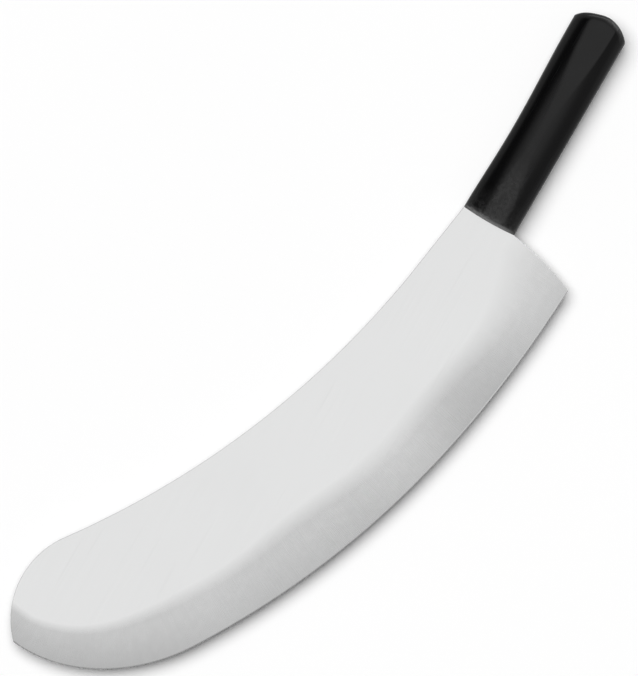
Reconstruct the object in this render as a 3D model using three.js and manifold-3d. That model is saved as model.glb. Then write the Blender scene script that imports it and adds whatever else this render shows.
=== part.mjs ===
import * as THREE from "three";
import { mergeVertices } from "three/addons/utils/BufferGeometryUtils.js";
import Module from "manifold-3d";

// One-handed mezzaluna: a broad curved mincing blade whose hidden tang is held in a moulded plastic handle.
// Millimetres. X runs along the handle towards the tip, Y towards the cutting edge, Z up.
// The pieces are drawn round the middle of the handle's front end, at half the blade's thickness.

// Room left all round wherever the blade and the handle meet.
const FIT_GAP = 0.3;

// Handle in plan.
const HANDLE_LENGTH = 148.3;
const HANDLE_FRONT_WIDTH = 36.3;
const HANDLE_BUTT_WIDTH = 36.4;
// The butt sits this much nearer the edge side than the front does.
const BUTT_OFFSET = 0.5;
const SPINE_SIDE_HOLLOW = 1.6;
// Share of the length, from the front, at which the waist is narrowest.
const WAIST_PLACE = 0.44;
const FRONT_BULGE = 0.8;
const BUTT_BULGE = 8.9;
// The front leans back above and below a low upright face, and the butt is rounded over.
const FRONT_LEAN = 1.8;
const FRONT_FACE_DEPTH = 7;
const BUTT_ROUNDING = 3;

// Handle in section: a flat crown, a crease, then a slope that rounds off into a narrow upright side.
const HANDLE_DEPTH = 22;
const SIDE_HEIGHT = 2;
const CROWN_FRONT_WIDTH = 13;
const CROWN_WAIST_WIDTH = 2.8;
const CROWN_BUTT_WIDTH = 17.4;
// The crown lies nearer the edge side at the two ends, and in the middle at the waist.
const CROWN_FRONT_OFFSET = 2.6;
const CROWN_BUTT_OFFSET = 0.4;
const CREASE_END_DROP = 3.6;
const CREASE_WAIST_DROP = 2;

// Blade outline. The tip and heel corners are measured from the middle of the handle's front.
const BLADE_THICKNESS = 3;
const EDGE_EASE = 0.25;
const TIP_REACH = 379.2;
const TIP_SWEEP = 128;
const TIP_RADIUS = 56.5;
const SPINE_STRAIGHT = 47.5;
const SPINE_HEADING = 8.6;
const SPINE_RADIUS = 581;
const HEEL_REACH = 13.6;
const HEEL_DROP = 65.1;
const HEEL_BOW = 1.6;

// Cutting edge: two curves that join at the fore point. Headings turn from X towards the spine side, in degrees.
const BELLY_HEEL_HEADING = 2.7;
const FORE_REACH = 325;
const FORE_SWEEP = 27.7;
const FORE_HEADING = 32.5;
const BELLY_TIP_HEADING = 96.6;
const BELLY_PULL = 0.35;

// Grind: a keen edge, a long straight bevel and a soft shoulder where the bevel runs out into the flat.
const EDGE_LAND = 0.2;
const KEEN_WIDTH = 0.8;
const KEEN_THICKNESS = 0.5;
const BEVEL_HEEL_WIDTH = 33;
const BEVEL_WIDTH = 30;
const BEVEL_TIP_WIDTH = 17.2;
const SHOULDER_HEEL_WIDTH = 30;
const SHOULDER_WIDTH = 11;
const SHOULDER_TIP_WIDTH = 9;
const HEEL_RUN = 60;
const TIP_RUN = 140;

// Tang, hidden in the handle.
const TANG_LENGTH = 112;
const TANG_ROOT_WIDTH = 25;
const TANG_END_WIDTH = 16;
const TANG_HOLE_DIAMETER = 8;
const TANG_HOLE_SETBACK = 30;
const TANG_HOLE_PITCH = 52;

// Smoothness of the curves.
const CURVE_STEPS = 24;
const CORNER_STEPS = 8;
const CROWN_STEPS = 6;
const LENGTH_STEPS = 24;
const ROUNDING_STEPS = 3;
const SHOULDER_STEPS = 4;
// How far a cutting body reaches past the surface that it cuts.
const OVERRUN = 3;

const { lerp, degToRad } = THREE.MathUtils;
const wasm = await Module();
wasm.setup();

// Closed body for cutting and joining, made from a closed mesh.
function solidOf(geometry) {
  geometry.deleteAttribute("normal");
  geometry.deleteAttribute("uv");
  const merged = mergeVertices(geometry, 1e-4);
  const mesh = new wasm.Mesh({
    numProp: 3,
    vertProperties: merged.attributes.position.array,
    triVerts: merged.index.array,
  });
  return new wasm.Manifold(mesh);
}

function geometryOf(solid) {
  const mesh = solid.getMesh();
  const geometry = new THREE.BufferGeometry();
  geometry.setAttribute("position", new THREE.BufferAttribute(mesh.vertProperties, 3));
  geometry.setIndex(new THREE.BufferAttribute(mesh.triVerts, 1));
  geometry.computeVertexNormals();
  return geometry;
}

// Skin over a row of rings. Point i of a ring lies across from point (last - i), so each end closes in strips.
// Rings run clockwise as seen from the first one, looking along the row.
function loft(rings) {
  const count = rings[0].length;
  const last = rings.length - 1;
  const corners = [];
  const quad = (a, b, c, d) => corners.push(a, b, c, a, c, d);
  for (let row = 0; row < last; row += 1) {
    for (let i = 0; i < count; i += 1) {
      const next = (i + 1) % count;
      quad(rings[row][i], rings[row][next], rings[row + 1][next], rings[row + 1][i]);
    }
  }
  for (let i = 0; i < count / 2 - 1; i += 1) {
    const across = count - 1 - i;
    quad(rings[0][i], rings[0][across], rings[0][across - 1], rings[0][i + 1]);
    quad(rings[last][i], rings[last][i + 1], rings[last][across - 1], rings[last][across]);
  }
  return new THREE.BufferGeometry().setFromPoints(corners);
}

// Flat sheet of the blade's steel, centred on the XY plane.
function sheet(shape, thickness, ease) {
  const core = thickness - 2 * ease;
  const geometry = new THREE.ExtrudeGeometry(shape, {
    depth: core,
    curveSegments: CURVE_STEPS,
    bevelEnabled: ease > 0,
    bevelThickness: ease,
    bevelSize: ease,
    bevelOffset: -ease,
    bevelSegments: 1,
  });
  geometry.translate(0, 0, -core / 2);
  return geometry;
}

// Unit vector that turns from X towards the spine side.
function heading(degrees) {
  const turn = degToRad(degrees);
  return new THREE.Vector2(Math.cos(turn), -Math.sin(turn));
}

function along(point, direction, distance) {
  return point.clone().addScaledVector(direction, distance);
}

// Cutting edge, from the heel to the tip.
function bellyCurve() {
  const heel = new THREE.Vector2(HEEL_REACH, HEEL_DROP);
  const fore = new THREE.Vector2(FORE_REACH, -FORE_SWEEP);
  const tip = new THREE.Vector2(TIP_REACH, -TIP_SWEEP);
  const foreHeading = heading(FORE_HEADING);
  const backPull = BELLY_PULL * heel.distanceTo(fore);
  const frontPull = BELLY_PULL * fore.distanceTo(tip);
  const heelHandle = along(heel, heading(BELLY_HEEL_HEADING), backPull);
  const tipHandle = along(tip, heading(BELLY_TIP_HEADING), -frontPull);
  const belly = new THREE.CurvePath();
  belly.add(new THREE.CubicBezierCurve(heel, heelHandle, along(fore, foreHeading, -backPull), fore));
  belly.add(new THREE.CubicBezierCurve(fore, along(fore, foreHeading, frontPull), tipHandle, tip));
  return belly;
}

// Centre of the tip's arc: it touches the spine's circle from outside and goes through the tip corner.
function tipCentre(spineCentre, tip) {
  const reach = SPINE_RADIUS + TIP_RADIUS;
  const across = tip.clone().sub(spineCentre);
  const span = across.length();
  const foot = (span * span + reach * reach - TIP_RADIUS * TIP_RADIUS) / (2 * span);
  const offset = Math.sqrt(reach * reach - foot * foot);
  across.divideScalar(span);
  const aside = new THREE.Vector2(-across.y, across.x);
  return along(along(spineCentre, across, foot), aside, offset);
}

// How far the handle's front face bulges forward at a distance from its middle.
function frontBulge(y) {
  return FRONT_BULGE * (1 - (2 * y / HANDLE_FRONT_WIDTH) ** 2);
}

// Adds the tang's sides and end to a path that has come to the edge side of the root.
function tangPath(path, grow) {
  const root = TANG_ROOT_WIDTH / 2 + grow;
  const end = TANG_END_WIDTH / 2 + grow;
  const back = -TANG_LENGTH - grow;
  path.lineTo(back + end, end);
  path.absarc(back + end, 0, end, Math.PI / 2, Math.PI * 1.5, false);
  path.lineTo(frontBulge(root) + FIT_GAP, -root);
  return path;
}

function tangHoles(radius) {
  return [0, 1].map((index) => {
    const hole = new THREE.Path();
    hole.absarc(-TANG_HOLE_SETBACK - index * TANG_HOLE_PITCH, 0, radius, 0, 2 * Math.PI, true);
    return hole;
  });
}

// Outline of the whole blank: spine, tip, cutting edge, heel, shoulders and tang.
function bladeShape() {
  const neck = HANDLE_FRONT_WIDTH / 2;
  const tip = new THREE.Vector2(TIP_REACH, -TIP_SWEEP);
  const spineHeading = heading(SPINE_HEADING);
  const inward = new THREE.Vector2(spineHeading.y, -spineHeading.x);
  const spineStart = along(new THREE.Vector2(FIT_GAP, -neck), spineHeading, SPINE_STRAIGHT);
  const spineCentre = along(spineStart, inward, SPINE_RADIUS);
  const tipMiddle = tipCentre(spineCentre, tip);
  const meeting = tipMiddle.clone().sub(spineCentre).angle();
  const tipEnd = tip.clone().sub(tipMiddle).angle();
  const startAngle = spineStart.clone().sub(spineCentre).angle();
  const root = TANG_ROOT_WIDTH / 2;

  const shape = new THREE.Shape();
  shape.moveTo(FIT_GAP, -neck);
  shape.lineTo(spineStart.x, spineStart.y);
  shape.absarc(spineCentre.x, spineCentre.y, SPINE_RADIUS, startAngle, meeting, true);
  shape.absarc(tipMiddle.x, tipMiddle.y, TIP_RADIUS, meeting + Math.PI, tipEnd, false);
  for (const { v0, v1, v2 } of bellyCurve().curves.reverse()) {
    shape.bezierCurveTo(v2.x, v2.y, v1.x, v1.y, v0.x, v0.y);
  }
  const heelMiddle = new THREE.Vector2((HEEL_REACH + FIT_GAP) / 2, (HEEL_DROP + neck) / 2);
  const heelOut = new THREE.Vector2(neck - HEEL_DROP, HEEL_REACH - FIT_GAP).normalize();
  const heelPull = along(heelMiddle, heelOut, 2 * HEEL_BOW);
  shape.quadraticCurveTo(heelPull.x, heelPull.y, FIT_GAP, neck);
  shape.lineTo(frontBulge(root) + FIT_GAP, root);
  tangPath(shape, 0);
  shape.holes = tangHoles(TANG_HOLE_DIAMETER / 2);
  return shape;
}

// Stations along the cutting edge, with one more beyond each end: a point, the way inward, and how far it lies
// from the heel and from the tip.
function edgeStations() {
  const edge = bellyCurve().getPoints(CURVE_STEPS);
  const lead = HEEL_REACH + BEVEL_HEEL_WIDTH;
  const beyond = (from, to) => to.clone().add(to.clone().sub(from).setLength(lead));
  const points = [beyond(edge[1], edge[0]), ...edge, beyond(edge.at(-2), edge.at(-1))];
  const last = points.length - 1;
  const total = edge.slice(1).reduce((sum, point, i) => sum + point.distanceTo(edge[i]), 0);
  let travelled = -lead;
  return points.map((point, i) => {
    const before = points[Math.max(i - 1, 0)];
    const after = points[Math.min(i + 1, last)];
    const tangent = after.clone().sub(before).normalize();
    travelled += i > 0 ? point.distanceTo(before) : 0;
    return {
      point,
      inward: new THREE.Vector2(tangent.y, -tangent.x),
      fromHeel: Math.max(travelled, 0),
      fromTip: Math.max(total - travelled, 0),
    };
  });
}

// Half thickness of the ground blade against the distance from the edge, as points from outside the edge inward.
function grindProfile(width, blend) {
  const keenSlope = (KEEN_THICKNESS - EDGE_LAND) / 2 / KEEN_WIDTH;
  const slope = (BLADE_THICKNESS - KEEN_THICKNESS) / 2 / (width - KEEN_WIDTH);
  const runOut = width - blend / 2;
  const height = (distance) => KEEN_THICKNESS / 2 + slope * (distance - KEEN_WIDTH);
  const points = [
    [-OVERRUN, EDGE_LAND / 2 - OVERRUN * keenSlope],
    [KEEN_WIDTH, KEEN_THICKNESS / 2],
  ];
  for (let step = 0; step < SHOULDER_STEPS; step += 1) {
    const share = step / SHOULDER_STEPS;
    points.push([runOut + blend * share, height(runOut) + slope * blend * (share - share * share / 2)]);
  }
  const lastSlope = slope / SHOULDER_STEPS / 2;
  points.push([width + blend / 2 + OVERRUN, BLADE_THICKNESS / 2 + OVERRUN * lastSlope]);
  return points;
}

// Body that grinds one face of the blade: the space above the ground profile, swept along the edge.
function grindBody(side) {
  const roof = BLADE_THICKNESS / 2 + OVERRUN;
  const fade = (distance, run) => Math.max(0, 1 - distance / run) ** 2;
  const rings = edgeStations().map(({ point, inward, fromHeel, fromTip }) => {
    const atHeel = fade(fromHeel, HEEL_RUN);
    const atTip = fade(fromTip, TIP_RUN);
    const width = lerp(lerp(BEVEL_WIDTH, BEVEL_HEEL_WIDTH, atHeel), BEVEL_TIP_WIDTH, atTip);
    const blend = lerp(lerp(SHOULDER_WIDTH, SHOULDER_HEEL_WIDTH, atHeel), SHOULDER_TIP_WIDTH, atTip);
    const place = (distance, z) => {
      const at = along(point, inward, distance);
      return new THREE.Vector3(at.x, at.y, side * z);
    };
    const profile = grindProfile(width, blend);
    const floor = profile.map(([distance, z]) => place(distance, z));
    const ceiling = profile.map(([distance]) => place(distance, roof));
    const ring = [...floor, ...ceiling.reverse()];
    return side > 0 ? ring.reverse() : ring;
  });
  return solidOf(loft(rings));
}

// Upper half of the handle's section at a share of its length, from the spine side over to the edge side.
function gripSection(share) {
  const waist = Math.sin(Math.PI * share ** (Math.log(0.5) / Math.log(WAIST_PLACE))) ** 2;
  const middle = BUTT_OFFSET * share;
  const half = lerp(HANDLE_FRONT_WIDTH, HANDLE_BUTT_WIDTH, share) / 2;
  const crown = lerp(lerp(CROWN_FRONT_WIDTH, CROWN_BUTT_WIDTH, share), CROWN_WAIST_WIDTH, waist) / 2;
  const ridge = middle + lerp(CROWN_FRONT_OFFSET, CROWN_BUTT_OFFSET, share) * (1 - waist);
  const crease = lerp(CREASE_END_DROP, CREASE_WAIST_DROP, waist);
  const top = HANDLE_DEPTH / 2;
  const corner = (outer, inner) => new THREE.QuadraticBezierCurve(
    new THREE.Vector2(outer, SIDE_HEIGHT / 2),
    new THREE.Vector2(outer, top - crease),
    new THREE.Vector2(inner, top),
  ).getPoints(CORNER_STEPS);
  const spineCorner = corner(middle - half + SPINE_SIDE_HOLLOW * waist, ridge - crown);
  const edgeCorner = corner(middle + half, ridge + crown).reverse();
  const flat = new THREE.LineCurve(spineCorner.at(-1), edgeCorner[0]).getPoints(CROWN_STEPS).slice(1, -1);
  return [...spineCorner, ...flat, ...edgeCorner];
}

// One ring of the handle: the section thinned by an inset above and below, and set back from the two end faces.
function gripRing(share, inset, frontSetback, buttSetback) {
  const middle = BUTT_OFFSET * share;
  const buttHalf = HANDLE_BUTT_WIDTH / 2;
  const buttRadius = (buttHalf * buttHalf + BUTT_BULGE * BUTT_BULGE) / (2 * BUTT_BULGE);
  const upright = 1 - inset / (HANDLE_DEPTH / 2);
  const upper = gripSection(share).map((point) => {
    const aside = point.x - middle;
    const front = frontBulge(aside) - frontSetback;
    const butt = buttRadius - Math.sqrt(buttRadius ** 2 - aside ** 2) - HANDLE_LENGTH + buttSetback;
    return new THREE.Vector3(lerp(front, butt, share), point.x, point.y * upright);
  });
  const lower = upper.map((point) => new THREE.Vector3(point.x, point.y, -point.z)).reverse();
  return [...upper, ...lower];
}

// Handle: rings from the low front face to the rounded butt.
function gripBody() {
  const rings = [gripRing(0, (HANDLE_DEPTH - FRONT_FACE_DEPTH) / 2, 0, 0)];
  for (let step = 0; step <= LENGTH_STEPS; step += 1) {
    rings.push(gripRing(step / LENGTH_STEPS, 0, FRONT_LEAN, BUTT_ROUNDING));
  }
  for (let step = 1; step <= ROUNDING_STEPS; step += 1) {
    const turn = Math.PI / 2 * step / ROUNDING_STEPS;
    const inset = BUTT_ROUNDING * (1 - Math.cos(turn));
    rings.push(gripRing(1, inset, 0, BUTT_ROUNDING * (1 - Math.sin(turn))));
  }
  return solidOf(loft(rings));
}

// Room for the tang in the handle, with posts left standing where the tang has its holes.
function tangPocket() {
  const root = TANG_ROOT_WIDTH / 2 + FIT_GAP;
  const shape = new THREE.Shape();
  shape.moveTo(OVERRUN, -root);
  shape.lineTo(OVERRUN, root);
  shape.lineTo(frontBulge(root) + FIT_GAP, root);
  tangPath(shape, FIT_GAP);
  shape.holes = tangHoles(TANG_HOLE_DIAMETER / 2 - FIT_GAP);
  return solidOf(sheet(shape, BLADE_THICKNESS + 2 * FIT_GAP, 0));
}

const bladeSolid = solidOf(sheet(bladeShape(), BLADE_THICKNESS, EDGE_EASE))
  .subtract(grindBody(1))
  .subtract(grindBody(-1));
const handleSolid = gripBody().subtract(tangPocket());

const steel = new THREE.MeshStandardMaterial({ color: 0xdcdedf, roughness: 0.35, metalness: 1 });
const plastic = new THREE.MeshStandardMaterial({ color: 0x17181a, roughness: 0.45, metalness: 0 });

const blade = new THREE.Mesh(geometryOf(bladeSolid), steel);
blade.name = "blade";
const handle = new THREE.Mesh(geometryOf(handleSolid), plastic);
handle.name = "handle";

const mezzaluna = new THREE.Group();
mezzaluna.name = "mezzaluna";
mezzaluna.add(blade, handle);

// The finished object stands on z = 0, centred over the origin.
const box = new THREE.Box3().setFromObject(mezzaluna);
const middle = box.getCenter(new THREE.Vector3());
for (const mesh of mezzaluna.children) {
  mesh.geometry.translate(-middle.x, -middle.y, -box.min.z);
}

export default mezzaluna;
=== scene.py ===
import math

import bpy
import numpy as np
from bpy.props import FloatProperty, FloatVectorProperty, PointerProperty
from mathutils import Matrix, Vector
from mathutils.geometry import delaunay_2d_cdt, interpolate_bezier


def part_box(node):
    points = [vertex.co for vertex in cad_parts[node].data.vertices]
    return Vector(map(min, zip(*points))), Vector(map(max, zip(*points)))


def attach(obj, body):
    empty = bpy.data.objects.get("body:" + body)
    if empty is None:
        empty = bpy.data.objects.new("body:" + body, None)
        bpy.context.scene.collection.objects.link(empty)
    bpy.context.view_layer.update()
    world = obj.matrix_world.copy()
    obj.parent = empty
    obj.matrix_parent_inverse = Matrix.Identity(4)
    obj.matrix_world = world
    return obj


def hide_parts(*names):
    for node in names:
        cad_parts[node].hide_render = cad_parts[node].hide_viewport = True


bl_info = {
    "name": "Mezzaluna",
    "version": (1, 0, 0),
    "blender": (4, 5, 0),
    "location": "3D View > Sidebar > Mezzaluna",
    "description": "Dresses the packed mezzaluna: ground steel blade, moulded handle and a pale stage",
    "category": "Object",
}

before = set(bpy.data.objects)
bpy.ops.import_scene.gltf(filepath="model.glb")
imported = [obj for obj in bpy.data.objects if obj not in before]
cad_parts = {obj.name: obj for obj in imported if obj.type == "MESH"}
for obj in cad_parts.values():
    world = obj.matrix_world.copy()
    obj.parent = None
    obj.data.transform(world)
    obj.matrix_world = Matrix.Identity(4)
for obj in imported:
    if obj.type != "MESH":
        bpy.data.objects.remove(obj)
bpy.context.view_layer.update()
BLADE_LOW, BLADE_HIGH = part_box("blade")
HANDLE_LOW, HANDLE_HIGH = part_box("handle")

MM = 0.001
PHOTO_SIZE = (638, 676)

# Spacing of the points along the blade's outline: on the cutting edge, on the spine, and round the tip and heel.
EDGE_STEP = 1.5 * MM
SPINE_STEP = 3 * MM
CORNER_STEP = 1 * MM
# Points drawn on each curve of the cutting edge, on the hollow heel and across the neck.
BELLY_POINTS = 400
HEEL_POINTS = 60
NECK_POINTS = 25
# Shares of the straight bevel and of its shoulder at which a mesh line follows the edge.
BEVEL_LINES = np.linspace(0.0, 1.0, 6)[1:]
SHOULDER_LINES = np.linspace(0.0, 1.0, 9)[1:]
# Room either side of the honed strip's crease over which it is softened.
CREASE_ROOM = 0.08 * MM
# Room inside the blade's rim that the mesh lines keep clear of.
RIM_ROOM = 0.3 * MM
# Most of the half thickness that the rounding of the blade's corners takes where the steel is thin.
EASE_SHARE = 0.2
# How far an inset may reach into a corner: the smaller, the further.
CORNER_LIMIT = 0.5
# Points of the blade's plan that are nearer to each other than this are one point.
SAME_PLACE = 1e-9

# Steps of the handle's skin: along it, over each corner, round each crease, across the crown and round the butt.
LENGTH_STEPS = 96
CORNER_STEPS = 18
CREASE_STEPS = 6
CROWN_STEPS = 6
ROUNDING_STEPS = 8
# Rings of the handle's leaning front: how far each is drawn in from the crown and set back, as shares of the whole.
FRONT_RINGS = (1.0, 0.0), (0.5, 0.37), (0.14, 0.84), (0.05, 0.98), (0.015, 1.07)
# How far back the handle's body starts, as a share of the front's lean.
BODY_SETBACK = 1.2
# Flattened stretch of the butt's arc: its shift past the middle, and its length in half widths.
FLAT_SHIFT = 0.17
FLAT_SPAN = 1.2
# Edges of the handle that turn by more than this stay crisp.
CRISP_ANGLE = math.radians(50)

BLACK = (0.0, 0.0, 0.0, 1.0)
# Tones of the steel: two places between which the tone changes, and the levels at them unless these are 0 and 1.
# Places are distances from the heel along the edge, or in from the edge.
# The bevel's tones are painted reflection: darker towards the tip and near the edge, lighter at the heel.
BEVEL_BY_EDGE = 300 * MM, 380 * MM, 0.89, 0.83
BEVEL_INWARD = 0.0, 24 * MM
BEVEL_BY_HEEL = 20 * MM, 70 * MM, 1.0, 0.9
# The honed strip's tones are painted shade: darker towards the tip and along its outer side, for the shadow line at
# the edge.
HONED_ALONG = 60 * MM, 340 * MM, 1.0, 0.64
HONED_INWARD = 0.1 * MM, 0.7 * MM, 0.75, 1.0
# Places along the edge where the bevel's colour is darker or lighter, how bright it is there, and their reach.
UNEVEN_PLACES = (90 * MM, 0.93), (150 * MM, 1.07), (310 * MM, 1.03), (445 * MM, 1.05)
UNEVEN_REACH = 45 * MM
# Distances behind the handle's front at which rubbing starts and is full all round, and at which a painted sheen
# on the upper crown starts and is full.
RUBBED_ROUND = 22 * MM, 3 * MM
CROWN_SHEEN_REACH = 50 * MM, 25 * MM
# Depth below the top over which the upper crown counts as such, for its painted sheen.
CROWN_DEPTH = 1.5 * MM
# Painted highlight along the front's edge, as a wide strip and a narrow one: distances behind the front at which it
# starts and is full, and its levels on the spine side and on the edge side. Distances from the spine side over which
# these change.
HIGHLIGHT_STRIPS = ((5 * MM, 2 * MM), (0.3, 0.2)), ((2.9 * MM, 1.5 * MM), (0.85, 0.0))
HIGHLIGHT_SIDES = 6 * MM, 24 * MM
# Painted highlight along the butt's rims: distances in from its arc at which it starts and is full, and its level.
# Then the places between which it fades in: from the butt's end, from the middle on the spine side and the edge side,
# and in height.
BUTT_HIGHLIGHT = 4.2 * MM, 1.2 * MM
BUTT_HIGHLIGHT_LEVEL = 0.42
BUTT_HIGHLIGHT_END = 14 * MM, 11 * MM
BUTT_HIGHLIGHT_SPINE = -5 * MM, 7 * MM
BUTT_HIGHLIGHT_EDGE = 18 * MM, 12 * MM
BUTT_HIGHLIGHT_HEIGHT = 5.5 * MM, 8.2 * MM
# Ranges of a noise that are stretched into lines and clouds, mottled wear, touched patches and hairline scratches.
CLOUD_RANGE = 0.3, 0.7
MOTTLE_RANGE = 0.35, 0.65
PATCH_RANGE = 0.42, 0.72
HAIR_RANGE = 0.68, 0.74
# Turns, in radians, of the honing strokes and of the hairline scratches, and what draws a noise out into hairs.
STROKE_TURN = 1.2
HAIR_TURNS = 0.5, 2.2
HAIR_SHAPE = (0.05, 1.0, 1.0)

# The room that the knife mirrors: where each part of it starts and is full, along an axis of the unit vector to it.
PANEL_Z = 0.81, 0.985
SCREENS_X = 0.45, 0.2
SCREENS_Y = -0.35, 0.35
SCREENS_Z = 0.28, 0.48
TIP_WALL_X = 0.25, 0.55
BUTT_WALL_X = -0.5, -0.8
END_WALLS_Y = -0.55, -0.15
WINDOW_X = -0.62, -0.85
WINDOW_Z = 0.28, 0.12


# ---------------------------------------------------------------- settings


def length(name, description, default):
    return FloatProperty(name=name, description=description, default=default, min=0.0, precision=5, unit="LENGTH")


def position(name, description, default):
    return FloatProperty(name=name, description=description, default=default, precision=5, unit="LENGTH")


def turn(name, description, degrees):
    return FloatProperty(name=name, description=description, default=math.radians(degrees), subtype="ANGLE")


def share(name, description, default):
    return FloatProperty(name=name, description=description, default=default, min=0.0, max=1.0, subtype="FACTOR")


def level(name, description, default):
    return FloatProperty(name=name, description=description, default=default, min=0.0)


def tint(name, description, default):
    return FloatVectorProperty(
        name=name, description=description, default=default, min=0.0, max=1.0, size=3, subtype="COLOR"
    )


class MEZZALUNA_PG_handle(bpy.types.PropertyGroup):
    """Sizes of the moulded handle."""

    depth: length("Depth", "Height of the handle over both crowns", HANDLE_HIGH.z - HANDLE_LOW.z)
    grip_length: length("Length", "Length from the front corners to the butt", 148.3 * MM)
    front_width: length("Front width", "Width where the blade leaves the handle", 36.3 * MM)
    butt_width: length("Butt width", "Width across the butt", 36.4 * MM)
    butt_offset: length("Butt offset", "How far the butt lies towards the edge side", 0.5 * MM)
    spine_hollow: length("Spine side hollow", "Depth of the waist on the spine side", 1.6 * MM)
    waist_place: share("Waist place", "Share of the length, from the front, at which the waist is narrowest", 0.44)
    front_bulge: length("Front bulge", "How far the front face stands out in the middle", 0.8 * MM)
    butt_bulge: length("Butt bulge", "How far the butt stands out in the middle", 8.9 * MM)
    front_lean: length("Front lean", "How far the front leans back above and below its upright face", 1.8 * MM)
    front_face: length("Front face", "Height of the upright face at the front", 7 * MM)
    butt_rounding: length("Butt rounding", "Rounding round the butt", 5 * MM)
    butt_flat: length("Butt flat", "How far the butt's arc is flattened on the spine side", 0.9 * MM)
    side_height: length("Side height", "Height of the upright sides", 2 * MM)
    crown_front: length("Crown at the front", "Width of the flat crown at the front", 13 * MM)
    crown_waist: length("Crown at the waist", "Width of the flat crown at the waist", 2.8 * MM)
    crown_butt: length("Crown at the butt", "Width of the flat crown at the butt", 17.4 * MM)
    ridge_front: length("Ridge at the front", "How far the crown lies towards the edge side at the front", 2.6 * MM)
    ridge_butt: length("Ridge at the butt", "How far the crown lies towards the edge side at the butt", 0.4 * MM)
    crease_end: length("Crease at the ends", "Drop of the slope's pull below the crown at front and butt", 3.6 * MM)
    crease_waist: length("Crease at the waist", "Drop of the slope's pull below the crown at the waist", 2 * MM)
    soft_front: length("Soft crease at the front", "Room either side of a crease that rounds it, at the front",
                       3 * MM)
    soft_waist: length("Soft crease at the waist", "Room either side of a crease that rounds it, at the waist",
                       1.35 * MM)
    soft_butt: length("Soft crease at the butt", "Room either side of the edge side's crease at the butt", 0.4 * MM)
    soft_spine: length("Soft crease on the spine side", "Room either side of the spine side's crease at the butt",
                       2.4 * MM)
    seam_height: length("Seam height", "How far the moulding seam stands out of the sides", 0.06 * MM)
    seam_width: length("Seam width", "Width of the moulding seam", 0.5 * MM)


class MEZZALUNA_PG_blade(bpy.types.PropertyGroup):
    """Sizes of the ground blade, measured from the middle of the handle's front."""

    thickness: length("Thickness", "Thickness of the steel", BLADE_HIGH.z - BLADE_LOW.z)
    ease: length("Edge ease", "Rounding of the spine, tip and heel corners", 0.15 * MM)
    neck_gap: length("Neck gap", "Room between the neck and the handle's front", 0.05 * MM)
    neck_start: length("Neck start", "Where the spine and the heel start, ahead of the handle's front corners",
                       0.3 * MM)
    tip_reach: length("Tip reach", "Distance of the tip corner along the handle's line", 379.2 * MM)
    tip_sweep: length("Tip sweep", "Distance of the tip corner aside, on the spine side", 128 * MM)
    tip_radius: length("Tip radius", "Radius of the rounded tip", 56.5 * MM)
    spine_straight: length("Straight of the spine", "Straight length of the spine next to the handle", 47.5 * MM)
    spine_heading: turn("Spine heading", "Direction of the spine where it leaves the handle", 8.6)
    spine_radius: length("Spine radius", "Radius of the hollow spine", 581 * MM)
    heel_reach: length("Heel reach", "Distance of the heel corner ahead of the handle", 13.6 * MM)
    heel_drop: length("Heel drop", "Distance of the heel corner aside, on the edge side", 65.1 * MM)
    heel_bow: length("Heel bow", "How far the back of the heel is hollowed", 1.6 * MM)
    belly_heel_heading: turn("Edge heading at the heel", "Direction of the cutting edge at the heel", 2.7)
    fore_reach: length("Fore reach", "Distance of the fore point along the handle's line", 325 * MM)
    fore_sweep: length("Fore sweep", "Distance of the fore point aside, on the spine side", 27.7 * MM)
    fore_heading: turn("Edge heading at the fore point", "Direction of the cutting edge at the fore point", 32.5)
    belly_tip_heading: turn("Edge heading at the tip", "Direction of the cutting edge at the tip corner", 96.6)
    belly_pull: share("Belly pull", "Length of the curve's pulls as a share of each chord", 0.35)
    edge_land: length("Edge land", "Thickness left at the very edge", 0.2 * MM)
    keen_width: length("Keen width", "Width of the honed strip along the edge", 0.8 * MM)
    keen_thickness: length("Keen thickness", "Thickness where the honed strip meets the bevel", 0.5 * MM)
    bevel_heel: length("Bevel at the heel", "Width of the bevel at the heel", 36 * MM)
    bevel_aft: length("Bevel aft", "Width of the bevel ahead of the heel, before it widens to the heel", 25.7 * MM)
    bevel_fore: length("Bevel fore", "Width of the bevel at the tip, before it narrows to the tip", 37.2 * MM)
    bevel_tip: length("Bevel at the tip", "Width of the bevel at the tip", 18.2 * MM)
    wander: length("Wander", "How far the hand-ground bevel wanders wider and narrower", 1.7 * MM)
    wander_start: length("Wander start", "Distance from the heel to where the bevel first wanders widest", 99 * MM)
    wander_length: length("Wander length", "Distance from one widest place to the next", 127 * MM)
    shoulder_heel: length("Shoulder at the heel", "Width over which the bevel runs out at the heel", 27 * MM)
    shoulder_aft: length("Shoulder aft", "Width over which the bevel runs out ahead of the heel", 18 * MM)
    shoulder_fore: length("Shoulder fore", "Width over which the bevel runs out at the tip", 5 * MM)
    heel_run: length("Heel run", "Length over which the bevel widens to the heel", 75 * MM)
    tip_run: length("Tip run", "Length over which the bevel narrows to the tip", 221 * MM)


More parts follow.
